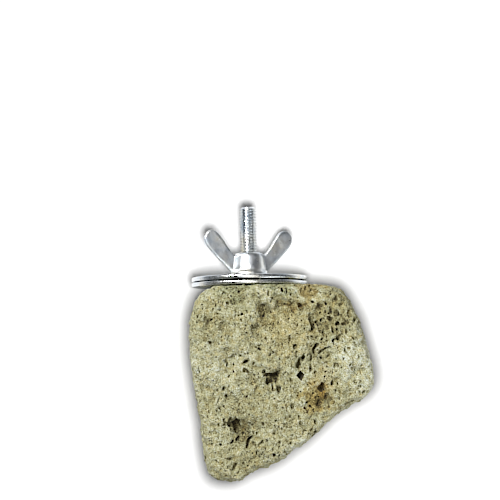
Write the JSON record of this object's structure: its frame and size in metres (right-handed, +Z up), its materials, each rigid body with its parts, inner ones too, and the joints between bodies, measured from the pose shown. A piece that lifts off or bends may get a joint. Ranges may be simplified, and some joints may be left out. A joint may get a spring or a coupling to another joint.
{
  "type": "lava rock",
  "caption": "Porous lava rock with a threaded stud set in its end, two wide washers and a wing nut that clamp it to cage wires.",
  "frame": {"origin": "middle of the whole object's box in plan, on the surface that the stone's back rests on", "axes": "+Y along the stud, out of the stone's top end; +Z up out of the face that the picture shows; +X to the right in the picture"},
  "size_m": [0.061, 0.0922, 0.0449],
  "materials": {
    "pumice": "rough porous volcanic stone, grey-beige with ochre and brown patches",
    "zinc": "bright zinc plating, slightly blue"
  },
  "bodies": {
    "root": {"lava_rock": "pumice", "threaded_stud": "zinc", "rock_washer": "zinc", "clamp_washer": "zinc", "wing_nut": "zinc"}
  },
  "joints": []
}
